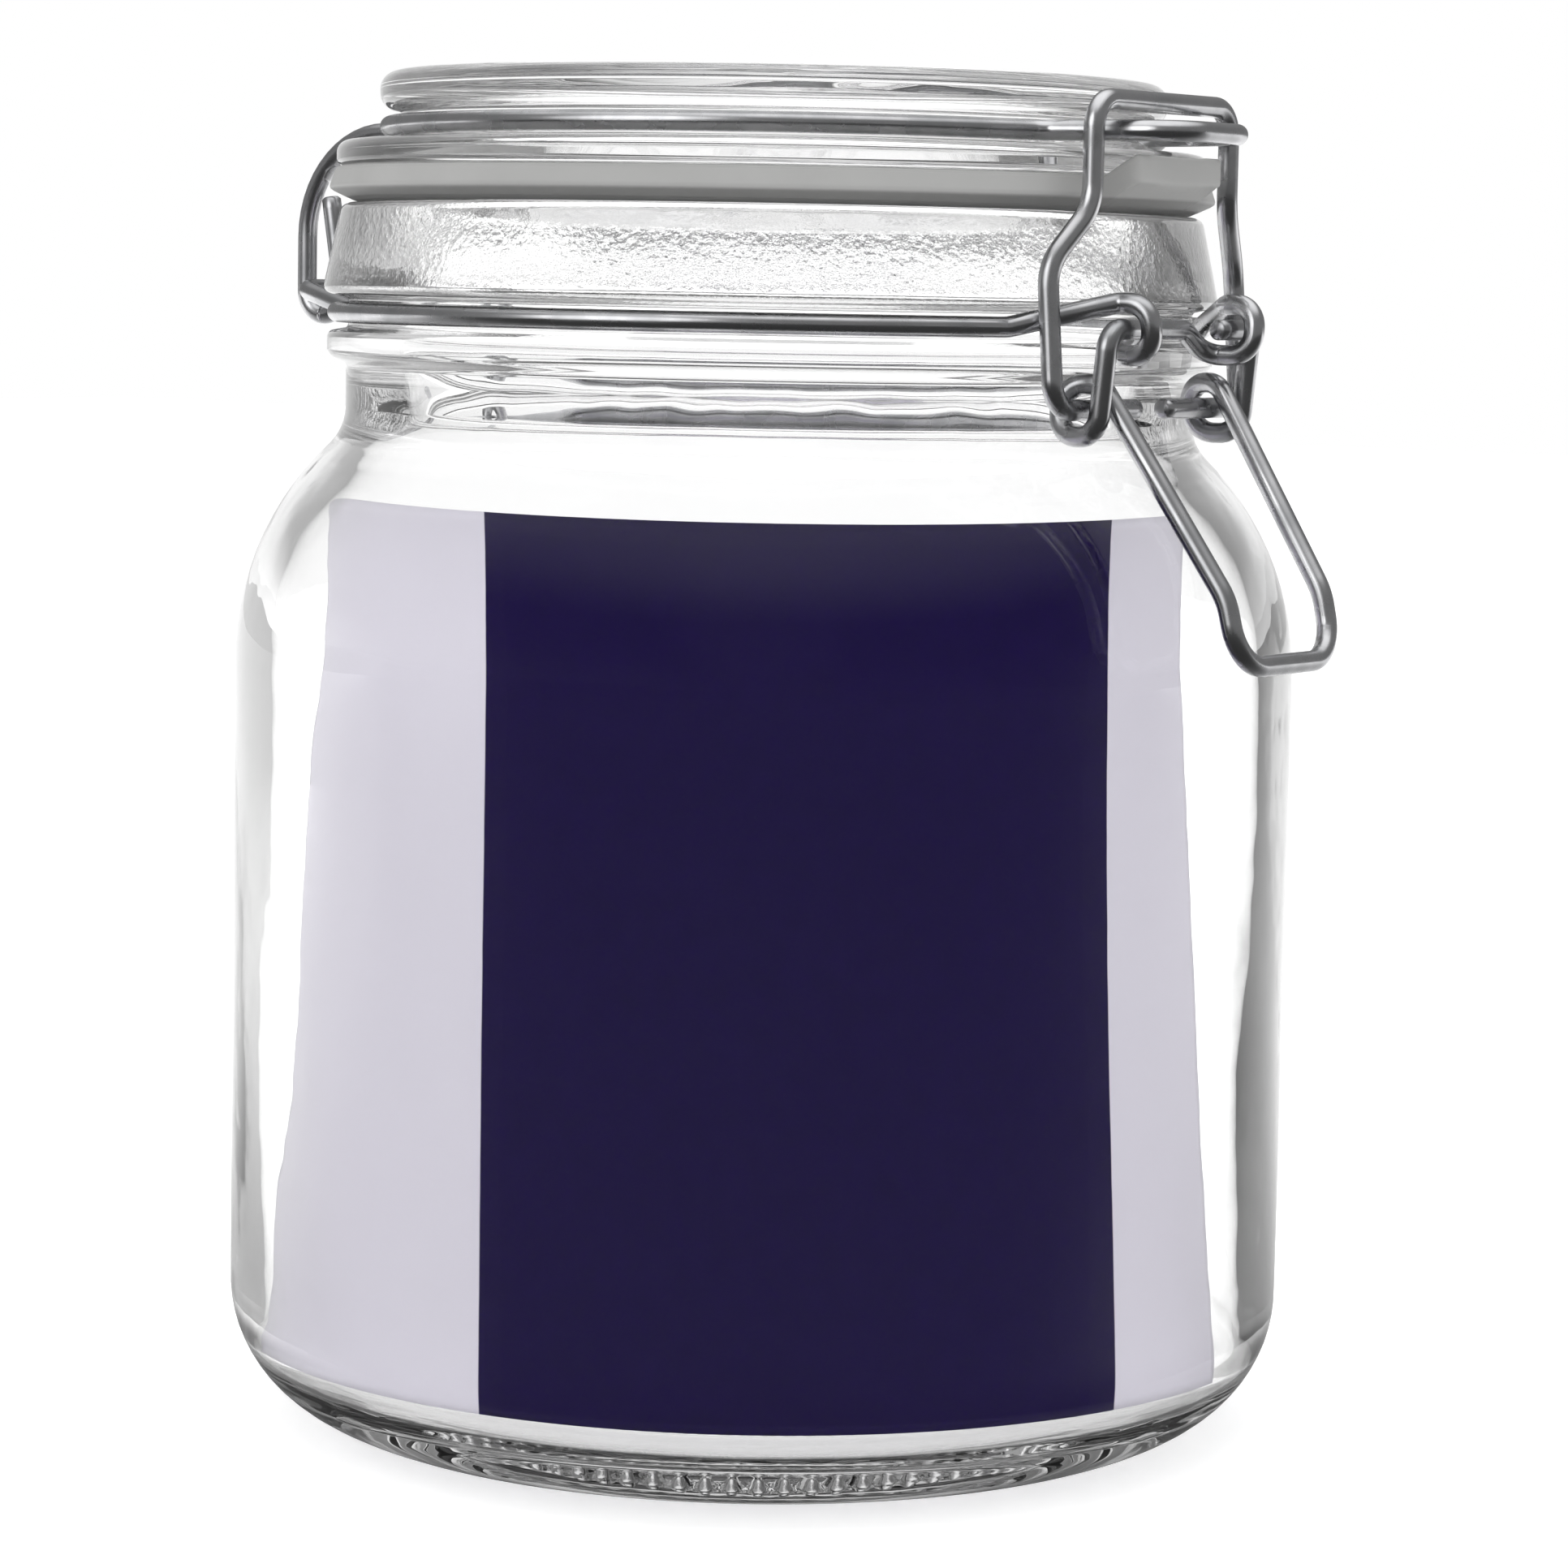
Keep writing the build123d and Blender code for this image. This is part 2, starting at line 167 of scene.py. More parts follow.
def ringFrames(path, closed):
    # directions across the path that don't twist: any perpendicular is taken at each point, carried to
    # the next point by the smallest turn, and the angle it misses by is summed along the path
    if closed:
        tangent = np.roll(path, -1, axis=0) - np.roll(path, 1, axis=0)
    else:
        tangent = np.gradient(path, axis=0)
    tangent /= np.linalg.norm(tangent, axis=1, keepdims=True)
    helper = np.eye(3)[np.argmin(np.abs(tangent), axis=1)]
    first = np.cross(tangent, helper)
    first /= np.linalg.norm(first, axis=1, keepdims=True)
    second = np.cross(tangent, first)
    following = np.roll(tangent, -1, axis=0) if closed else np.append(tangent[1:], tangent[-1:], axis=0)
    middle = tangent + following
    middle /= np.linalg.norm(middle, axis=1, keepdims=True)
    carried = first - 2 * middle * (first * middle).sum(1, keepdims=True)
    carried = carried - 2 * following * (carried * following).sum(1, keepdims=True)
    nextFirst = np.roll(first, -1, axis=0)
    nextSecond = np.roll(second, -1, axis=0)
    missed = np.arctan2((carried * nextSecond).sum(1), (carried * nextFirst).sum(1))
    twist = np.concatenate([[0], np.cumsum(missed)[:-1]])
    if closed:
        total = missed.sum()
        spare = (total + np.pi) % fullTurn - np.pi
        twist -= spare * np.arange(len(path)) / len(path)
    return first, second, twist


def wireTube(name, path, diameter, sides, closed, endBevel=0.12, endShare=0.74):
    # a round wire: a circle carried along the path; open ends are closed by a small bevel and a fan
    radius = diameter / 2
    if not closed:
        ends = path[[1, -2]] - path[[0, -1]]
        ends /= np.linalg.norm(ends, axis=1, keepdims=True)
        bevel = endBevel * diameter
        path = np.concatenate([path[:1], path[:1] + ends[:1] * bevel, path[1:-1],
                               path[-1:] + ends[1:] * bevel, path[-1:]])
    first, second, twist = ringFrames(path, closed)
    around = np.linspace(0, fullTurn, sides, endpoint=False)[None, :] + twist[:, None]
    scale = np.full(len(path), radius)
    if not closed:
        scale[[0, -1]] = radius * endShare
    grid = path[:, None] + scale[:, None, None] * (
        first[:, None] * np.cos(around)[..., None] + second[:, None] * np.sin(around)[..., None]
    )
    rings = len(path)
    spans = rings if closed else rings - 1
    here = np.arange(sides)
    after = np.roll(here, -1)
    row = (np.arange(spans) * sides)[:, None]
    nextRow = (row + sides) % (rings * sides)
    quads = np.stack([row + here, row + after, nextRow + after, nextRow + here], axis=2).reshape(-1, 4)
    length = np.concatenate([[0], np.cumsum(np.linalg.norm(np.diff(path, axis=0), axis=1))])
    if closed:
        length = np.append(length, length[-1] + np.linalg.norm(path[0] - path[-1]))
    # u runs round the wire and v along it, both in mm
    u = np.stack([here, here + 1, here + 1, here], axis=1) * (np.pi * diameter / sides)
    v = np.stack([length[:-1], length[:-1], length[1:], length[1:]], axis=1)
    uv = np.stack(np.broadcast_arrays(u[None], v[:, None]), axis=3).reshape(-1, 2)
    points = grid.reshape(-1, 3)
    if closed:
        return putMesh(name, points, quads, None, uv)
    startPole = np.full(sides, rings * sides)
    lastRow = (rings - 1) * sides
    fans = np.concatenate([
        np.stack([startPole, after, here], axis=1),
        np.stack([startPole + 1, lastRow + here, lastRow + after], axis=1),
    ])
    points = np.concatenate([points, path[:1], path[-1:]])
    uv = np.concatenate([uv, np.zeros((fans.size, 2))])
    return putMesh(name, points, quads, fans, uv)


def mirroredPath(half, middleFirst, closed=False):
    # a half path from or to the plane X = 0, made whole with its mirror image
    other = half * np.array([-1.0, 1.0, 1.0])
    if closed:
        return np.concatenate([half, other[::-1][1:-1]])
    if middleFirst:
        return np.concatenate([other[::-1], half[1:]])
    return np.concatenate([half, other[::-1][1:]])


def circlePath(radius, height, startAngle, endAngle, steps):
    angle = np.radians(np.linspace(startAngle, endAngle, steps))
    return np.stack([radius * np.cos(angle), radius * np.sin(angle), np.full(steps, height)], axis=1)


def joinedPath(*parts):
    # the parts meet end to end, so each later part drops its first point
    return np.concatenate([parts[0]] + [part[1:] for part in parts[1:]])


# Materials

def pressedGlass(name, density, rippleLow, rippleHigh):
    # pressed soda-lime glass: clear, faintly grey through its thick edges, fire-polished but for the
    # band from rippleLow to rippleHigh (mm), where the mould's chill leaves the surface rippled
    look = {"tint": "#fbfbfb", "edgeGrey": "#b6b6b6", "ior": 1.52, "roughness": 0.0,
            "waveSize": 7.0, "waveDepth": 0.03, "rippleSize": 0.7, "rippleDepth": 0.1}
    material, tree, output = newMaterial(name)
    place = addNode(tree, "ShaderNodeTexCoord").outputs["Object"]
    waves = addNode(tree, "ShaderNodeTexNoise", {"Vector": place, "Scale": 1 / (look["waveSize"] * mm), "Detail": 1.0})
    ripples = addNode(tree, "ShaderNodeTexNoise", {"Vector": place, "Scale": 1 / (look["rippleSize"] * mm),
                      "Detail": 3.0})
    split = addNode(tree, "ShaderNodeSeparateXYZ", {"Vector": place})
    rise = addNode(tree, "ShaderNodeMapRange", {"Value": split.outputs["Z"], "From Min": rippleLow * mm,
                   "From Max": (rippleLow + 1.5) * mm}, interpolation_type="SMOOTHSTEP")
    fall = addNode(tree, "ShaderNodeMapRange", {"Value": split.outputs["Z"], "From Min": rippleHigh * mm,
                   "From Max": (rippleHigh - 1.5) * mm}, interpolation_type="SMOOTHSTEP")
    band = addNode(tree, "ShaderNodeMath", {0: rise.outputs[0], 1: fall.outputs[0]}, operation="MULTIPLY")
    bandDepth = addNode(tree, "ShaderNodeMath", {0: band.outputs[0], 1: ripples.outputs[0]}, operation="MULTIPLY")
    waveBump = addNode(tree, "ShaderNodeBump", {"Strength": look["waveDepth"], "Distance": 1.0 * mm,
                       "Height": waves.outputs[0]})
    rippleBump = addNode(tree, "ShaderNodeBump", {"Strength": look["rippleDepth"], "Distance": 0.6 * mm,
                         "Height": bandDepth.outputs[0], "Normal": waveBump.outputs[0]})
    shader = addNode(tree, "ShaderNodeBsdfPrincipled", {
        "Base Color": linearColour(look["tint"]), "Roughness": look["roughness"], "IOR": look["ior"],
        "Transmission Weight": 1.0, "Normal": rippleBump.outputs[0]})
    depth = addNode(tree, "ShaderNodeVolumeAbsorption", {"Color": linearColour(look["edgeGrey"]), "Density": density})
    tree.links.new(shader.outputs[0], output.inputs["Surface"])
    tree.links.new(depth.outputs[0], output.inputs["Volume"])
    return material


def drawnSteelWire():
    # galvanised steel wire, cold drawn: mid grey metal with fine lines along its length and
    # slightly dull patches where it was bent
    look = {"metal": "#c4c4c6", "patch": "#aaabad", "roughness": (0.2, 0.34), "lineSize": 0.25, "lineLength": 12.0,
            "patchSize": 5.0}
    material, tree, output = newMaterial("drawnSteelWire")
    uv = addNode(tree, "ShaderNodeUVMap", uv_map="UVMap").outputs[0]
    stretch = addNode(tree, "ShaderNodeMapping", {"Vector": uv, "Scale": (1 / look["lineSize"],
                      1 / look["lineLength"], 1)})
    lines = addNode(tree, "ShaderNodeTexNoise", {"Vector": stretch.outputs[0], "Scale": 1.0, "Detail": 2.0})
    place = addNode(tree, "ShaderNodeTexCoord").outputs["Object"]
    patches = addNode(tree, "ShaderNodeTexNoise", {"Vector": place, "Scale": 1 / (look["patchSize"] * mm),
                      "Detail": 3.0})
    spread = addNode(tree, "ShaderNodeMapRange", {"Value": patches.outputs[0], "From Min": 0.35, "From Max": 0.7})
    colour = addNode(tree, "ShaderNodeMix", {"Factor": spread.outputs[0], "A": linearColour(look["metal"]),
                     "B": linearColour(look["patch"])}, data_type="RGBA")
    rough = addNode(tree, "ShaderNodeMapRange", {"Value": patches.outputs[0], "From Min": 0.3, "From Max": 0.7,
                    "To Min": look["roughness"][0], "To Max": look["roughness"][1]})
    bump = addNode(tree, "ShaderNodeBump", {"Strength": 0.12, "Distance": 0.1 * mm, "Height": lines.outputs[0]})
    shader = addNode(tree, "ShaderNodeBsdfPrincipled", {
        "Base Color": colour.outputs["Result"], "Metallic": 1.0, "Roughness": rough.outputs[0],
        "Normal": bump.outputs[0]})
    tree.links.new(shader.outputs[0], output.inputs["Surface"])
    return material


def greyRubber():
    # moulded natural rubber: pale grey, matt, with a fine grain, faint cloudy colour and a painted shade on its
    # lower lip: below the lip's height the grey is darker, standing in for the shadow on the downward-facing lip
    look = {"rubber": "#a9a9a8", "cloud": "#9a9a99", "paintedLipShade": "#7c7c7b", "roughness": 0.55, "grain": 0.6,
            "cloudSize": 9.0, "lipHeight": 136.2}
    material, tree, output = newMaterial("greyRubber")
    place = addNode(tree, "ShaderNodeTexCoord").outputs["Object"]
    clouds = addNode(tree, "ShaderNodeTexNoise", {"Vector": place, "Scale": 1 / (look["cloudSize"] * mm),
                     "Detail": 4.0})
    colour = addNode(tree, "ShaderNodeMix", {"Factor": clouds.outputs[0], "A": linearColour(look["rubber"]),
                     "B": linearColour(look["cloud"])}, data_type="RGBA")
    split = addNode(tree, "ShaderNodeSeparateXYZ", {"Vector": place})
    # painted shade: under this height the rubber's colour is mixed to a darker grey, for the shadowed lower lip
    paintedLipShade = addNode(tree, "ShaderNodeMapRange", {"Value": split.outputs["Z"], "From Min": (look["lipHeight"] + 0.15) * mm,
                  "From Max": (look["lipHeight"] - 0.15) * mm})
    colour = addNode(tree, "ShaderNodeMix", {"Factor": paintedLipShade.outputs[0], "A": colour.outputs["Result"],
                     "B": linearColour(look["paintedLipShade"])}, data_type="RGBA")
    grain = addNode(tree, "ShaderNodeTexNoise", {"Vector": place, "Scale": 1 / (look["grain"] * mm), "Detail": 2.0})
    bump = addNode(tree, "ShaderNodeBump", {"Strength": 0.15, "Distance": 0.1 * mm, "Height": grain.outputs[0]})
    shader = addNode(tree, "ShaderNodeBsdfPrincipled", {
        "Base Color": colour.outputs["Result"], "Roughness": look["roughness"], "Normal": bump.outputs[0]})
    tree.links.new(shader.outputs[0], output.inputs["Surface"])
    return material


def printedPaper(name, bandStart, bandEnd, startSkew=0.0, endSkew=0.0):
    # coated label paper, offset printed: a pale ground with a broad dark band, satin, the ink
    # slightly mottled and the cut fibres just visible; bandStart and bandEnd are shares of its width
    look = {"paper": "#d6d3de", "ink": "#0f0138", "inkThin": "#150442", "roughness": 0.38, "mottle": 2.5, "fibre": 0.5,
            "edge": 0.0012}
    material, tree, output = newMaterial(name)
    uv = addNode(tree, "ShaderNodeUVMap", uv_map="UVMap").outputs[0]
    split = addNode(tree, "ShaderNodeSeparateXYZ", {"Vector": uv})
    place = addNode(tree, "ShaderNodeTexCoord").outputs["Object"]
    mottle = addNode(tree, "ShaderNodeTexNoise", {"Vector": place, "Scale": 1 / (look["mottle"] * mm), "Detail": 4.0})
    fibre = addNode(tree, "ShaderNodeTexNoise", {"Vector": place, "Scale": 1 / (look["fibre"] * mm), "Detail": 2.0})
    leftPlace = addNode(tree, "ShaderNodeMath", {0: split.outputs["Y"], 1: -startSkew, 2: split.outputs["X"]},
                        operation="MULTIPLY_ADD")
    rightPlace = addNode(tree, "ShaderNodeMath", {0: split.outputs["Y"], 1: -endSkew, 2: split.outputs["X"]},
                         operation="MULTIPLY_ADD")
    start = addNode(tree, "ShaderNodeMapRange", {"Value": leftPlace.outputs[0], "From Min": bandStart,
                    "From Max": bandStart + look["edge"]})
    end = addNode(tree, "ShaderNodeMapRange", {"Value": rightPlace.outputs[0], "From Min": bandEnd,
                  "From Max": bandEnd - look["edge"]})
    band = addNode(tree, "ShaderNodeMath", {0: start.outputs[0], 1: end.outputs[0]}, operation="MULTIPLY")
    ink = addNode(tree, "ShaderNodeMix", {"Factor": mottle.outputs[0], "A": linearColour(look["ink"]),
                  "B": linearColour(look["inkThin"])}, data_type="RGBA")
    colour = addNode(tree, "ShaderNodeMix", {"Factor": band.outputs[0], "A": linearColour(look["paper"]),
                     "B": ink.outputs["Result"]}, data_type="RGBA")
    bump = addNode(tree, "ShaderNodeBump", {"Strength": 0.08, "Distance": 0.1 * mm, "Height": fibre.outputs[0]})
    shader = addNode(tree, "ShaderNodeBsdfPrincipled", {
        "Base Color": colour.outputs["Result"], "Roughness": look["roughness"], "Specular IOR Level": 0.12,
        "Normal": bump.outputs[0]})
    tree.links.new(shader.outputs[0], output.inputs["Surface"])
    return material


# Glass jar: the outline goes from under the base up the outside, over the rim and down the inside

jar = {
    "corners": [(0, 2.2), (31.0, 2.2), (37.0, 0), (59.0, 0), (59.0, 98.0), (47.0, 110.0), (47.0, 117.0), (49.1, 118.0),
                (49.1, 120.6), (46.8, 121.1), (46.8, 124.3), (49.7, 124.8), (47.6, 134.7), (41.0, 134.7),
                (41.0, 110.343), (55.0, 96.343), (55.0, 6.4), (0, 6.4)],
    "radii": [4.0, 3.0, 15.0, 33.0, 6.0, 0.8, 1.2, 0.8, 0.4, 0.4, 1.0, 1.2, 1.2, 19.04, 26.6, 4.5],
    "sides": 396, "spacing": 3.4, "arcSteps": 25, "turnStep": 9.0,
    "knurlCount": 66, "knurlDepth": 0.9, "knurlFrom": 21.5, "knurlTo": 25.5, "knurlSpacing": 0.5,
    "innerWave": 0.12, "bandWave": 0.012, "bandLow": 125.2, "bandHigh": 133.6, "density": 3.5,
}


def smoothStep(value, low, high):
    share = np.clip((value - low) / (high - low), 0, 1)
    return share * share * (3 - 2 * share)


def jarShape(radius, height, angle):
    # inside wall: slow waves, sums of sines in angle and height, as the plunger leaves them
    wave = (np.sin(5 * angle + height * 0.03) + 0.7 * np.sin(11 * angle - height * 0.05 + 1.3)
            + 0.5 * np.sin(19 * angle + height * 0.09 + 0.4))
    inside = smoothStep(height, 9, 20) * smoothStep(height, 100, 84) * (radius < 55.6) * (radius > 41.2)
    radius = radius + jar["innerWave"] * 0.5 * wave * inside * (height > 6.5)
    # underside: a ring of short radial ribs in the push-up, a cosine in angle under a smooth window in radius
    knurlFrom, knurlTo = jar["knurlFrom"], jar["knurlTo"]
    window = smoothStep(radius, knurlFrom, knurlFrom + 1.0) * smoothStep(radius, knurlTo, knurlTo - 1.0)
    underside = (height < 3.0) * window
    rib = np.clip(0.5 + 0.9 * np.cos(jar["knurlCount"] * angle), 0, 1)
    height = height + jar["knurlDepth"] * rib * underside
    # neck band: shallow chill ripples round the outside
    bandLow, bandHigh = jar["bandLow"], jar["bandHigh"]
    band = smoothStep(height, bandLow, bandLow + 1.5) * smoothStep(height, bandHigh, bandHigh - 1.5)
    chill = (np.sin(37 * angle + 2.1 * height) * np.sin(23 * angle - 1.4 * height)
             + 0.6 * np.sin(61 * angle + 0.9 * height))
    radius = radius + jar["bandWave"] * chill * band * (radius > 45)
    return radius, height


jarOutline = evenLine(roundedLine(jar["corners"], jar["radii"], jar["arcSteps"]), jar["spacing"], jar["turnStep"])
# closer rows under the ring of ribs
ribStep = jar["knurlSpacing"]
ribRows = np.arange(jar["knurlFrom"] - ribStep, jar["knurlTo"] + 2 * ribStep, ribStep)
pushUp = np.arange(len(jarOutline)) < np.argmax(jarOutline[:, 0] > ribRows[-1])
inner = jarOutline[pushUp & (jarOutline[:, 0] < ribRows[0])]
ribPlaces = np.stack([ribRows, np.full(len(ribRows), jarOutline[0, 1])], axis=1)
jarOutline = np.concatenate([inner, ribPlaces, jarOutline[~pushUp]])
jarPiece = turned("jarBody", jarOutline, jar["sides"], jarShape)
jarGlass = pressedGlass("pressedGlassJar", jar["density"], jar["bandLow"], jar["bandHigh"])
finishPiece(jarPiece, "glass_jar", "jar", "jar_glass", jarGlass)
print("jar:", len(jarPiece.data.polygons), "faces")

# Glass lid: from the ceiling of the hollow down round the plug, out under the flange and over the top

lid = {
    "corners": [(0, 142.7), (34.2, 142.7), (34.2, 130.9), (37.2, 130.9), (40.2, 134.7), (40.2, 138.7), (48.2, 138.7),
                (48.2, 141.5), (41.2, 141.5), (41.2, 144.7), (43.5, 145.2), (43.5, 149.1), (37.0, 149.1), (35.4, 147.5),
                (0, 147.5)],
    "radii": [5.0, 0.8, 0.8, 1.0, 0.4, 0.8, 1.4, 0.4, 0.3, 1.9, 1.9, 1.2, 1.5],
    "sides": 360, "spacing": 1.6, "arcSteps": 25, "turnStep": 7.0, "wave": 0.05, "density": 1.5,
    "rippled": (200.0, 210.0),  # above the lid, so none of it is rippled
}


def lidShape(radius, height, angle):
    # the top and the ceiling are very slightly uneven: sines in angle and radius
    wave = np.sin(4 * angle + radius * 0.2) + 0.6 * np.sin(9 * angle - radius * 0.35 + 0.7)
    flat = smoothStep(radius, 34.0, 28.0) * smoothStep(radius, 0.5, 9.0)
    return radius, height + lid["wave"] * wave * flat * np.where(height > 145, -1, 1)


lidOutline = evenLine(roundedLine(lid["corners"], lid["radii"], lid["arcSteps"]), lid["spacing"], lid["turnStep"])
lidPiece = turned("lidBody", lidOutline, lid["sides"], lidShape)
lidGlass = pressedGlass("pressedGlassLid", lid["density"], *lid["rippled"])
finishPiece(lidPiece, "glass_lid", "lid", "lid_glass", lidGlass)
print("lid:", len(lidPiece.data.polygons), "faces")

# Gasket: a ring whose outer face is pulled out into the tab in front

gasket = {
    "innerRadius": 40.6, "outerRadius": 49.0, "low": 134.9, "high": 138.6, "edgeSlope": 0.8, "edgeRadius": 0.5,
    "bevelHeight": 1.3, "bevelDepth": 2.8, "spacing": 1.0, "arcSteps": 5,
    "tabHalfWidth": 8.5, "tabReach": 53.0, "tabBend": 49.2, "tabLow": 135.25, "tabHigh": 138.25, "tabRise": 2.4,
    "tabEase": 30.0,
    "tabSteps": 9, "tabEdge": 0.4, "plainAngles": 300, "tabAngles": 161, "tabSpan": 12.0, "bead": 0.06,
}


def tabPlan():
    # how far out the tab's plan, a rectangle with eased corners, goes along the ray at each angle:
    # the nearer of the tip line and the side line, joined smoothly by a high power mean
    tab = np.linspace(-gasket["tabSpan"], gasket["tabSpan"], gasket["tabAngles"], endpoint=False)
    plain = np.linspace(gasket["tabSpan"], 360 - gasket["tabSpan"], gasket["plainAngles"], endpoint=False)
    fromFront = np.radians(np.concatenate([tab, plain]))
    out = np.maximum(np.cos(fromFront), 0.2)
    sideways = np.maximum(np.abs(np.sin(fromFront)), 1e-6)
    power = gasket["tabEase"]
    reach = ((out / gasket["tabReach"]) ** power + (sideways / gasket["tabHalfWidth"]) ** power) ** (-1 / power)
    return fromFront, np.where(np.cos(fromFront) > 0.5, reach, 0)


def gasketMesh():
    # section, counter-clockwise from the inner bottom edge; between the tab's two faces the outer face's
    # rows are pulled out to the tab's plan by a share from 0 at the root to 1 at the tip
    low, high, edge = gasket["low"], gasket["high"], gasket["edgeRadius"]
    inR, outR = gasket["innerRadius"], gasket["outerRadius"]
    corners = [(inR + 4, low), (outR - gasket["bevelDepth"], low), (outR, low + gasket["bevelHeight"]),
               (outR - gasket["edgeSlope"], high), (inR, high), (inR, low), (inR + 4, low)]
    outline = sampledLine(roundedLine(corners, [edge] * 5, gasket["arcSteps"]), gasket["spacing"])[:-1]
    tabLow, tabHigh, ease = gasket["tabLow"], gasket["tabHigh"], gasket["tabEdge"]
    outside = outline[:, 0] > inR + 4.5
    below = np.arange(len(outline)) < np.argmax(outside & (outline[:, 1] > tabLow))
    above = np.arange(len(outline)) >= np.argmax(outside & (outline[:, 1] > tabHigh))
    root = np.linspace(0, 0.94, gasket["tabSteps"])
    bend = [(tabLow + 0.3 * ease, 0.985), (tabLow + ease, 1.0)]
    tip = [(z, 1.0) for z in np.linspace(tabLow + ease, tabHigh - ease, gasket["tabSteps"])[1:-1]]
    rows = ([(tabLow, share) for share in root] + bend + tip
            + [(tabLow + tabHigh - z, share) for z, share in bend[::-1]] + [(tabHigh, share) for share in root[::-1]])
    rows = np.array(rows)
    rising = outside & (np.diff(outline[:, 1], append=high) >= 0)
    tabRows = np.stack([np.interp(rows[:, 0], outline[rising, 1], outline[rising, 0]), rows[:, 0]], axis=1)
    section = np.concatenate([outline[below], tabRows, outline[above]])
    share = np.concatenate([np.zeros(below.sum()), rows[:, 1], np.zeros(above.sum())])[:, None]
    fromFront, reach = tabPlan()
    pull = np.maximum(reach[None, :] - section[:, :1], 0)
    radius = section[:, :1] + share * (pull + gasket["bead"])
    bent = np.clip((radius - gasket["tabBend"]) / (gasket["tabReach"] - gasket["tabBend"]), 0, 1)
    height = section[:, 1:] + gasket["tabRise"] * bent
    angle = fromFront - np.pi / 2
    grid = np.stack([radius * np.cos(angle), radius * np.sin(angle), height], axis=2)
    count, sides = radius.shape
    here = np.arange(sides)
    after = np.roll(here, -1)
    row = (np.arange(count) * sides)[:, None]
    nextRow = (row + sides) % (count * sides)
    quads = np.stack([row + here, row + after, nextRow + after, nextRow + here], axis=2).reshape(-1, 4)
    return putMesh("gasketRing", grid.reshape(-1, 3), quads)


gasketObject = gasketMesh()
finishPiece(gasketObject, "gasket", "lid", "gasket_rubber", greyRubber())
print("gasket:", len(gasketObject.data.polygons), "faces")

# Wires: all drawn from the same steel wire

wire = {"diameter": 2.2, "sides": 28, "arcSteps": 14, "spacing": 1.4, "circleSteps": 120}
steel = drawnSteelWire()

neckWire = {
    "back": [(0.0, 56.5, 125.1), (14.5, 56.5, 125.1), (18.804, 44.569, 122.7), (24.0, 41.569, 122.7)],
    "backRadii": [3.0, 3.0],
    "groove": (48.0, 122.7, 60.0, -63.0),
    "front": [(21.792, -42.768, 122.7), (19.119, -44.13, 122.7), (10.867, -52.4, 125.4), (10.607, -56.1, 125.4),
              (10.087, -56.1, 120.0), (9.307, -50.7, 120.0), (4.6, -50.8, 122.7), (0.0, -50.8, 122.7)],
    "frontRadii": [3.0, 1.8, 2.5, 2.5, 2.3, 3.0],
}
neckHalf = joinedPath(
    roundedLine(neckWire["back"], neckWire["backRadii"], wire["arcSteps"]),
    circlePath(*neckWire["groove"], wire["circleSteps"]),
    roundedLine(neckWire["front"], neckWire["frontRadii"], wire["arcSteps"]),
)
neckPath = mirroredPath(sampledLine(neckHalf, wire["spacing"]), True, closed=True)
neckPiece = wireTube("neckWire", neckPath, wire["diameter"], wire["sides"], True)
finishPiece(neckPiece, "neck_wire", "jar", "wire_steel", steel)

lidWire = {
    "bump": [(0.0, -57.0, 143.1), (6.8, -57.0, 143.1), (9.037, -47.873, 143.1), (9.937, -41.988, 143.1),
             (17.246, -38.734, 143.1)],
    "bumpRadii": [5.0, 5.0, 3.0],
    "groove": (42.4, 143.1, -66.0, 70.0),
    "leg": [(14.502, 39.843, 143.1), (10.743, 41.211, 143.1), (10.5, 59.5, 143.1), (10.5, 59.5, 122.1),
            (10.5, 53.5, 122.1),
            (10.5, 55.9, 135.7)],
    "legRadii": [2.4, 12.0, 2.8, 2.8],
}
lidHalf = joinedPath(
    roundedLine(lidWire["bump"], lidWire["bumpRadii"], wire["arcSteps"]),
    circlePath(*lidWire["groove"], wire["circleSteps"]),
    roundedLine(lidWire["leg"], lidWire["legRadii"], wire["arcSteps"]),
)
lidPath = mirroredPath(sampledLine(lidHalf, wire["spacing"]), True)
lidWirePiece = wireTube("lidWire", lidPath, wire["diameter"], wire["sides"], False)
finishPiece(lidWirePiece, "lid_wire", "lid", "wire_steel", steel)

lever = {
    "corners": [(7.2, -53.4, 122.7), (14.267, -53.4, 122.7), (14.267, -52.3, 111.6), (13.357, -46.9, 111.6),
                (12.447, -46.9, 117.0),
                (11.667, -51.031, 117.0), (9.8, -65.6, 95.4), (9.6, -67.2, 88.5), (0.0, -67.2, 88.5)],
    "radii": [2.2, 2.6, 2.6, 2.6, 2.5, 8.0, 4.6],
}
leverHalf = roundedLine(lever["corners"], lever["radii"], wire["arcSteps"])
leverPath = mirroredPath(sampledLine(leverHalf, wire["spacing"]), False)
leverPiece = wireTube("leverWire", leverPath, wire["diameter"], wire["sides"], False)
finishPiece(leverPiece, "lever", "lever", "wire_steel", steel)

bail = {
    "corners": [(0.0, -50.473, 146.2), (13.4, -50.473, 146.2), (13.4, -50.473, 135.1), (18.467, -48.473, 129.1),
                (18.467, -49.6, 114.3), (2.6, -49.6, 114.3)],
    "radii": [3.0, 6.0, 6.0, 3.0],
}
bailHalf = roundedLine(bail["corners"], bail["radii"], wire["arcSteps"])
bailPath = mirroredPath(sampledLine(bailHalf, wire["spacing"]), True)
bailPiece = wireTube("bailWire", bailPath, wire["diameter"], wire["sides"], False)
finishPiece(bailPiece, "bail", "bail", "wire_steel", steel)
print("wires:", [len(p.data.polygons) for p in (neckPiece, lidWirePiece, leverPiece, bailPiece)])

# Label: a sheet of coated paper leaning on the wall, printed on its outer face

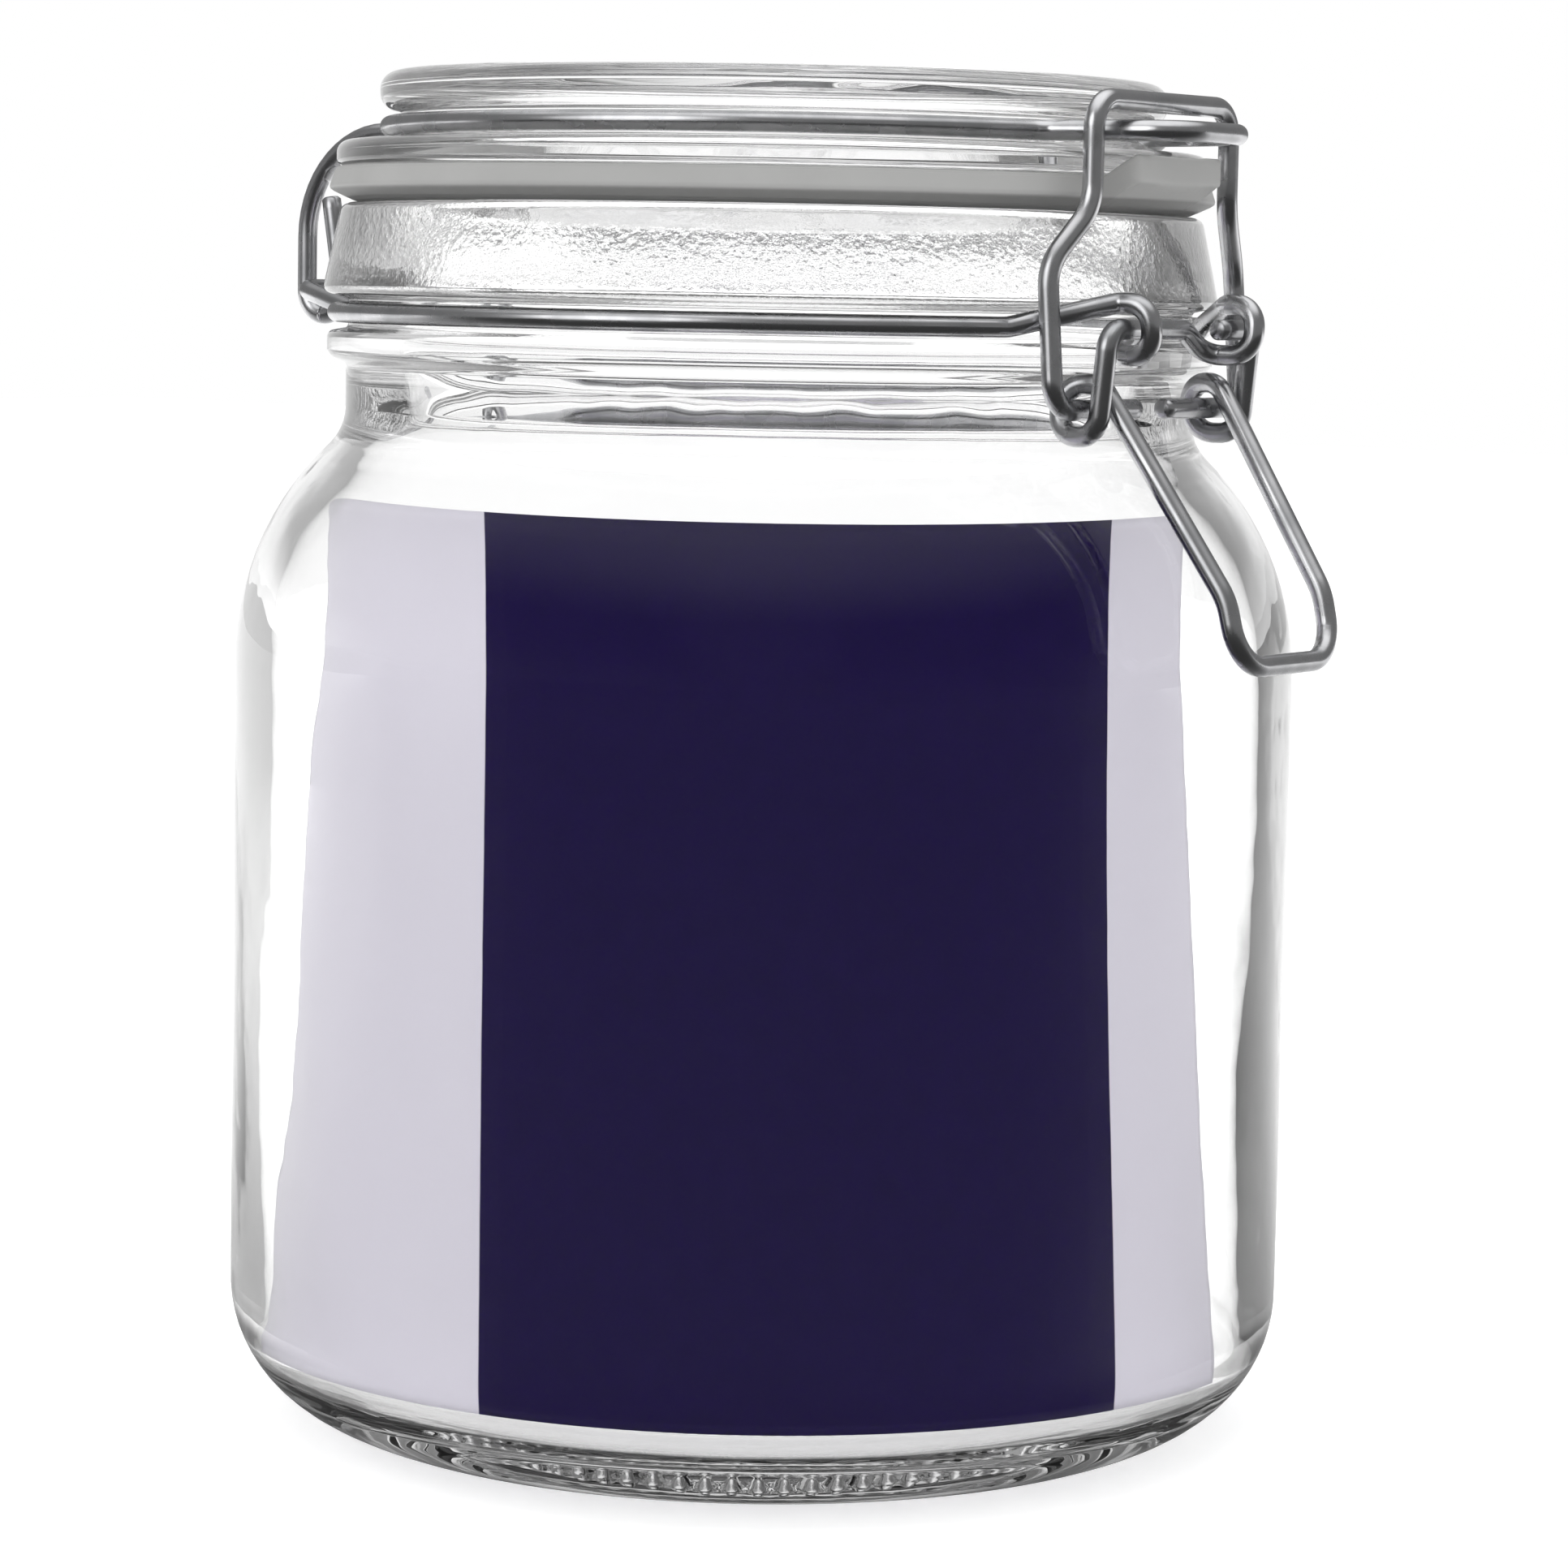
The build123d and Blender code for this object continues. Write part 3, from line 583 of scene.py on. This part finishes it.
label = {
    "low": 10.225, "high": 101.725, "lowRadius": 54.649, "highRadius": 49.043, "thickness": 0.3,
    "startAngle": 145.0, "sweep": 133.0, "columns": 150, "rows": 90, "slack": 0.35,
    "bandStart": 186.1, "bandEnd": 259.2, "startSkew": -5.1, "endSkew": 2.4,
    "noBand": (2.0, 3.0),  # past the sheet's width, so the back stays bare
}


def labelSheet():
    # a cone's patch: radius falls evenly from the foot to the top edge, less a slow slack, sines in width and height,
    # that is nil at the edges that lean on the glass; the inner face is the same patch, one thickness further in
    across = np.linspace(0, 1, label["columns"])[None, :]
    up = np.linspace(0, 1, label["rows"])[:, None]
    angle = np.radians(label["startAngle"] + label["sweep"] * across) + 0 * up
    unevenness = 1 + 0.5 * np.sin(7 * across + 2 * up) + 0.3 * np.sin(17 * across - 3 * up)
    slack = label["slack"] * np.sin(np.pi * up) * unevenness
    outer = label["lowRadius"] + (label["highRadius"] - label["lowRadius"]) * up - slack
    height = label["low"] + (label["high"] - label["low"]) * up + 0 * across
    faces = [np.stack([r * np.cos(angle), r * np.sin(angle), height], axis=2).reshape(-1, 3)
             for r in (outer, outer - label["thickness"])]
    count = label["rows"] * label["columns"]
    index = np.arange(count).reshape(label["rows"], label["columns"])
    a, b, c, d = index[:-1, :-1], index[:-1, 1:], index[1:, 1:], index[1:, :-1]
    front = np.stack([a, b, c, d], axis=2).reshape(-1, 4)
    backFace = front[:, ::-1] + count
    # the edges' faces run once round the sheet and join the two patches
    border = np.concatenate([index[0, :-1], index[:-1, -1], index[-1, :0:-1], index[:0:-1, 0]])
    following = np.roll(border, -1)
    rim = np.stack([following, border, border + count, following + count], axis=1)
    quads = np.concatenate([front, backFace, rim])
    grid = np.stack(np.broadcast_arrays(across, up), axis=2).reshape(-1, 2)
    uv = np.concatenate([grid, grid])[quads].reshape(-1, 2)
    piece = putMesh("labelInsert", np.concatenate(faces), quads, None, uv)
    slots = np.zeros(len(quads), dtype=np.int32)
    slots[len(front):] = 1
    piece.data.polygons.foreach_set("material_index", slots)
    smooth = np.zeros(len(quads), dtype=bool)
    smooth[:len(front) + len(backFace)] = True
    piece.data.polygons.foreach_set("use_smooth", smooth)
    return piece


labelPiece = labelSheet()
bandShares = [(label[key] - label["startAngle"]) / label["sweep"] for key in ("bandStart", "bandEnd")]
bandSkews = [label[key] / label["sweep"] for key in ("startSkew", "endSkew")]
printedFace = printedPaper("printedPaper", *bandShares, *bandSkews)
plainBack = printedPaper("uncoatedPaperBack", *label["noBand"])
finishPiece(labelPiece, "label_insert", "jar", "label_paper", printedFace, plainBack)
print("label:", len(labelPiece.data.polygons), "faces")

# Camera: the photograph's own height, distance and small tilt

camera = {"azimuth": -54.0, "distance": 524.5, "height": 126.8, "aside": 2.5, "pitch": 6.1, "roll": 1.09,
          "focal": 107.66}


def placeCamera():
    turn = radians(camera["azimuth"])
    right = Vector((cos(turn), sin(turn), 0))
    level = Vector((-sin(turn), cos(turn), 0))
    pitch = radians(camera["pitch"])
    forward = level * cos(pitch) - Vector((0, 0, 1)) * sin(pitch)
    up = right.cross(forward)
    roll = radians(camera["roll"])
    tiltedRight = right * cos(roll) + up * sin(roll)
    tiltedUp = up * cos(roll) - right * sin(roll)
    data = bpy.data.cameras.new("photoCamera")
    data.sensor_width = 36.0
    data.lens = camera["focal"]
    data.clip_start = 0.01
    data.clip_end = 50.0
    holder = bpy.data.objects.new("photoCamera", data)
    place = (-level * camera["distance"] + right * camera["aside"] + Vector((0, 0, camera["height"]))) * mm
    axes = Matrix((tiltedRight, tiltedUp, -forward)).transposed().to_4x4()
    holder.matrix_world = Matrix.Translation(place) @ axes
    bpy.context.scene.collection.objects.link(holder)
    bpy.context.scene.camera = holder
    return right, level


cameraRight, cameraLevel = placeCamera()

# Stage: white floor, white surround and soft lamps

stage = {
    "floorSize": 6000.0, "floorWhite": "#f4f4f4", "floorGlow": 0.35,
    "matt": 1.0, "mattInside": 2.4, "backdrop": 1.2,  # light on matt things, on those in the jar, and behind the glass
    # what a view meets that the glass threw back: the surround, then the shares of painted shade by which the floor is
    # dim, and the painted shade's colour
    "insideLeft": 1.5, "insideRight": 0.4, "insideFront": 0.05, "insideDeep": 1.4, "insideBack": 1.05,
    "insideHigh": 0.25,
    "paintedFloorShade": "#3a3a3a", "floorLeft": 0.7, "floorRight": 1.0, "floorAcross": 0.36,
    "floorUnder": 0.35, "underRadius": 68.0, "underSoft": 8.0, "floorThrough": 2.0,
    "front": 0.03, "back": 0.95, "above": 0.5,  # what the glass mirrors
    "metalRoom": 0.25, "metalTop": 1.5, "metalStrip": 2.4,  # what the wire mirrors
    "lampLeftSize": (150, 700), "lampLeftPower": 1.4, "lampTopSize": (420, 420), "lampTopPower": 2.5,
}


def insideBounce(tree):
    # 1 for a view that was thrown back inside the glass before it left it: it ends on the dark sides of the studio
    paths = addNode(tree, "ShaderNodeLightPath").outputs
    bounced = addNode(tree, "ShaderNodeMath", {0: paths["Glossy Depth"], 1: paths["Diffuse Depth"]},
                      operation="GREATER_THAN")
    return addNode(tree, "ShaderNodeMath", {0: bounced.outputs[0], 1: paths["Is Transmission Ray"]},
                   operation="MULTIPLY").outputs[0]


def seenRays(tree):
    # 1 for what the camera, a reflection or the glass sees, 0 for the light that falls on matt surfaces
    paths = addNode(tree, "ShaderNodeLightPath").outputs
    seen = addNode(tree, "ShaderNodeMath", {0: paths["Is Camera Ray"], 1: paths["Is Glossy Ray"]}, operation="MAXIMUM")
    return addNode(tree, "ShaderNodeMath", {0: seen.outputs[0], 1: paths["Is Transmission Ray"]},
                   operation="MAXIMUM").outputs[0]


def whiteFloor():
    # seamless paper: part glow, so that it is white, and part matt, so that it takes the shadow; for views off or
    # through the glass, painted shade darkens its colour and glow in places
    material, tree, output = newMaterial("seamlessPaper")
    inside = insideBounce(tree)
    # painted shade: in reflections, the floor in front of the jar is painted dark, as if it lay in the dim room
    paths = addNode(tree, "ShaderNodeLightPath").outputs
    place = addNode(tree, "ShaderNodeTexCoord").outputs["Object"]
    depth = addNode(tree, "ShaderNodeVectorMath", {0: place, 1: tuple(cameraLevel)}, operation="DOT_PRODUCT")
    front = addNode(tree, "ShaderNodeMapRange", {"Value": depth.outputs["Value"], "From Min": 0.3, "From Max": -0.1},
                    interpolation_type="SMOOTHSTEP")
    reflection = addNode(tree, "ShaderNodeMath", {0: paths["Is Glossy Ray"], 1: paths["Is Transmission Ray"]},
                         operation="SUBTRACT",
                         use_clamp=True)
    thrownBack = addNode(tree, "ShaderNodeMath", {0: inside, 1: reflection.outputs[0]}, operation="MAXIMUM")
    # painted light and shade: further back, for views that the glass threw back, the floor is painted darker towards
    # the right, as if lit more from the left
    aside = addNode(tree, "ShaderNodeVectorMath", {0: place, 1: tuple(cameraRight)}, operation="DOT_PRODUCT")
    shade = addNode(tree, "ShaderNodeMapRange", {"Value": aside.outputs["Value"], "From Min": -0.2, "From Max": 0.2,
                    "To Min": stage["floorLeft"], "To Max": stage["floorRight"]})
    dimBack = addNode(tree, "ShaderNodeMath", {0: shade.outputs[0], 1: inside}, operation="MULTIPLY")
    dimFront = addNode(tree, "ShaderNodeMath", {0: front.outputs[0], 1: thrownBack.outputs[0]}, operation="MULTIPLY")
    dark = addNode(tree, "ShaderNodeMath", {0: dimBack.outputs[0], 1: dimFront.outputs[0]}, operation="MAXIMUM")
    # painted light: a view that went on across the jar gets less of the painted shade, as if it gathered light on its
    # way
    across = addNode(tree, "ShaderNodeMapRange", {"Value": paths["Transmission Depth"], "From Min": 2.5,
                     "From Max": 3.5,
                     "To Min": 1.0, "To Max": stage["floorAcross"]})
    dark = addNode(tree, "ShaderNodeMath", {0: dark.outputs[0], 1: across.outputs[0]}, operation="MULTIPLY")
    # painted shadow: through the glass, the paper that the jar stands on is painted darker, as little light reaches it
    reach = addNode(tree, "ShaderNodeVectorMath", {0: place}, operation="LENGTH")
    under = addNode(tree, "ShaderNodeMapRange", {"Value": reach.outputs["Value"], "From Min": stage["underRadius"] * mm,
                    "From Max": (stage["underRadius"] - stage["underSoft"]) * mm}, interpolation_type="SMOOTHSTEP")
    shadow = addNode(tree, "ShaderNodeMath", {0: paths["Is Transmission Ray"], 1: stage["floorUnder"]},
                     operation="MULTIPLY")
    dimUnder = addNode(tree, "ShaderNodeMath", {0: under.outputs[0], 1: shadow.outputs[0]}, operation="MULTIPLY")
    dark = addNode(tree, "ShaderNodeMath", {0: dark.outputs[0], 1: dimUnder.outputs[0]}, operation="MAXIMUM")
    # painted shade: the paper's colour is mixed towards a dark grey by the shade shares above, and its glow is dimmed
    # with it
    paper = addNode(tree, "ShaderNodeMix", {"Factor": dark.outputs[0], "A": linearColour(stage["floorWhite"]),
                    "B": linearColour(stage["paintedFloorShade"])}, data_type="RGBA")
    matt = addNode(tree, "ShaderNodeBsdfDiffuse", {"Color": paper.outputs["Result"]})
    dim = addNode(tree, "ShaderNodeMapRange", {"Value": dark.outputs[0], "To Min": stage["floorGlow"], "To Max": 0.0})
    # behind glass it makes up for what the walls take away
    makeUp = addNode(tree, "ShaderNodeMapRange", {"Value": paths["Is Transmission Ray"], "To Min": 1.0,
                     "To Max": stage["floorThrough"]})
    lit = addNode(tree, "ShaderNodeMath", {0: dim.outputs[0], 1: makeUp.outputs[0]}, operation="MULTIPLY")
    strength = addNode(tree, "ShaderNodeMath", {0: lit.outputs[0], 1: seenRays(tree)}, operation="MULTIPLY")
    glow = addNode(tree, "ShaderNodeEmission", {"Strength": strength.outputs[0]})
    both = addNode(tree, "ShaderNodeAddShader", {0: matt.outputs[0], 1: glow.outputs[0]})
    tree.links.new(both.outputs[0], output.inputs["Surface"])
    half = stage["floorSize"] / 2
    corners = np.array([(-half, -half, 0), (half, -half, 0), (half, half, 0), (-half, half, 0)])
    floor = putMesh("floor", corners, np.array([[0, 1, 2, 3]]))
    floor.data.materials.append(material)


def studioSurround():
    # white where the camera or the glass sees it; reflections see a white backdrop behind the jar, a pale
    # ceiling and a dim room in front
    world = bpy.data.worlds.new("studioSurround")
    world.use_nodes = True
    bpy.context.scene.world = world
    tree = world.node_tree
    tree.nodes.clear()
    paths = addNode(tree, "ShaderNodeLightPath").outputs
    way = addNode(tree, "ShaderNodeTexCoord").outputs["Generated"]
    facing = addNode(tree, "ShaderNodeVectorMath", {0: way, 1: tuple(cameraLevel)}, operation="DOT_PRODUCT")
    room = addNode(tree, "ShaderNodeMapRange", {"Value": facing.outputs["Value"], "From Min": -0.3, "From Max": 0.7,
                   "To Min": stage["front"], "To Max": stage["back"]}, interpolation_type="SMOOTHSTEP")
    height = addNode(tree, "ShaderNodeSeparateXYZ", {"Vector": way})
    ceiling = addNode(tree, "ShaderNodeMapRange", {"Value": height.outputs["Z"], "From Min": 0.35, "From Max": 0.9,
                      "To Min": 0.0, "To Max": stage["above"]}, interpolation_type="SMOOTHSTEP")
    reflected = addNode(tree, "ShaderNodeMath", {0: room.outputs[0], 1: ceiling.outputs[0]}, operation="MAXIMUM")
    sideways = addNode(tree, "ShaderNodeVectorMath", {0: way, 1: tuple(cameraRight)}, operation="DOT_PRODUCT")
    sides = addNode(tree, "ShaderNodeMapRange", {"Value": sideways.outputs["Value"], "From Min": -0.8, "From Max": 0.8,
                    "To Min": stage["insideLeft"], "To Max": stage["insideRight"]})
    # the more often a view was thrown back, the more of the lit room it gathers
    nearEnd = addNode(tree, "ShaderNodeMapRange", {"Value": paths["Glossy Depth"], "From Min": 1.0, "From Max": 4.0,
                      "To Min": stage["insideFront"], "To Max": stage["insideDeep"]})
    ends = addNode(tree, "ShaderNodeMapRange", {"Value": facing.outputs["Value"], "From Min": -0.3, "From Max": 0.8,
                   "To Min": nearEnd.outputs[0], "To Max": stage["insideBack"]}, interpolation_type="SMOOTHSTEP")
    inner = addNode(tree, "ShaderNodeMath", {0: sides.outputs[0], 1: ends.outputs[0]}, operation="MULTIPLY")
    # high up at the sides the white backdrop ends, which draws the line of the shoulder
    lean = addNode(tree, "ShaderNodeMath", {0: sideways.outputs["Value"]}, operation="ABSOLUTE")
    besides = addNode(tree, "ShaderNodeMapRange", {"Value": lean.outputs[0], "From Min": 0.1, "From Max": 0.4},
                      interpolation_type="SMOOTHSTEP")
    raised = addNode(tree, "ShaderNodeMapRange", {"Value": height.outputs["Z"], "From Min": -0.05, "From Max": 0.2},
                     interpolation_type="SMOOTHSTEP")
    corner = addNode(tree, "ShaderNodeMath", {0: besides.outputs[0], 1: raised.outputs[0]}, operation="MULTIPLY")
    ended = addNode(tree, "ShaderNodeMapRange", {"Value": corner.outputs[0], "To Min": 1.0,
                    "To Max": stage["insideHigh"]})
    inner = addNode(tree, "ShaderNodeMath", {0: inner.outputs[0], 1: ended.outputs[0]}, operation="MULTIPLY")
    through = addNode(tree, "ShaderNodeMix", {"Factor": insideBounce(tree), "A": stage["backdrop"],
                      "B": inner.outputs[0]})
    # light on matt things inside the glass makes up for what the walls take away
    matt = addNode(tree, "ShaderNodeMath", {0: paths["Diffuse Depth"], 1: 0.5}, operation="GREATER_THAN")
    through = addNode(tree, "ShaderNodeMix", {"Factor": matt.outputs[0], "A": through.outputs["Result"],
                      "B": stage["mattInside"]})
    # the drawn wire's soft reflections see a grey room, the lit ceiling and one tall strip of light at the front left
    stripWay = (-cameraRight * 0.62 - cameraLevel * 0.7 + Vector((0, 0, 0.35))).normalized()
    strip = addNode(tree, "ShaderNodeVectorMath", {0: way, 1: tuple(stripWay)}, operation="DOT_PRODUCT")
    stripLight = addNode(tree, "ShaderNodeMapRange", {"Value": strip.outputs["Value"], "From Min": 0.88,
                         "From Max": 0.98,
                         "To Min": stage["metalRoom"], "To Max": stage["metalStrip"]}, interpolation_type="SMOOTHSTEP")
    topLight = addNode(tree, "ShaderNodeMapRange", {"Value": height.outputs["Z"], "From Min": 0.5, "From Max": 0.95,
                       "To Min": 0.0, "To Max": stage["metalTop"]}, interpolation_type="SMOOTHSTEP")
    metalLight = addNode(tree, "ShaderNodeMath", {0: stripLight.outputs[0], 1: topLight.outputs[0]},
                         operation="MAXIMUM")
    mirrorLike = addNode(tree, "ShaderNodeMix", {"Factor": paths["Is Singular Ray"], "A": metalLight.outputs[0],
                         "B": reflected.outputs[0]})
    level = addNode(tree, "ShaderNodeMix", {"Factor": paths["Is Glossy Ray"], "A": stage["matt"],
                    "B": mirrorLike.outputs["Result"]})
    level = addNode(tree, "ShaderNodeMix", {"Factor": paths["Is Transmission Ray"], "A": level.outputs["Result"],
                    "B": through.outputs["Result"]})
    level = addNode(tree, "ShaderNodeMix", {"Factor": paths["Is Camera Ray"], "A": level.outputs["Result"], "B": 1.0})
    surround = addNode(tree, "ShaderNodeBackground", {"Color": (1, 1, 1, 1), "Strength": level.outputs["Result"]})
    addNode(tree, "ShaderNodeOutputWorld", {"Surface": surround.outputs[0]})


whiteFloor()
studioSurround()


def softLamp(name, place, target, size, power):
    # an area lamp in millimetres; it lights matt things but shows in no reflection
    lamp = bpy.data.lights.new(name, "AREA")
    lamp.shape = "RECTANGLE"
    lamp.size = size[0] * mm
    lamp.size_y = size[1] * mm
    lamp.energy = power
    holder = bpy.data.objects.new(name, lamp)
    aim = Vector(target) * mm - Vector(place) * mm
    holder.matrix_world = Matrix.Translation(Vector(place) * mm) @ aim.to_track_quat("-Z", "Y").to_matrix().to_4x4()
    holder.visible_glossy = False
    holder.visible_transmission = False
    bpy.context.scene.collection.objects.link(holder)


lampLeft = -cameraRight * 640 + cameraLevel * 285 + Vector((0, 0, 120))
lampTop = -cameraLevel * 60 + Vector((0, 0, 900))
softLamp("softLampLeft", lampLeft, (0, 0, 70), stage["lampLeftSize"], stage["lampLeftPower"])
softLamp("softLampTop", lampTop, (0, 0, 60), stage["lampTopSize"], stage["lampTopPower"])

bpy.context.scene.view_settings.view_transform = "Standard"
# thick glass throws light back many times before it leaves
bpy.context.scene.cycles.max_bounces = 24
bpy.context.scene.cycles.glossy_bounces = 16
bpy.context.scene.cycles.transmission_bounces = 24
print("scene ready")
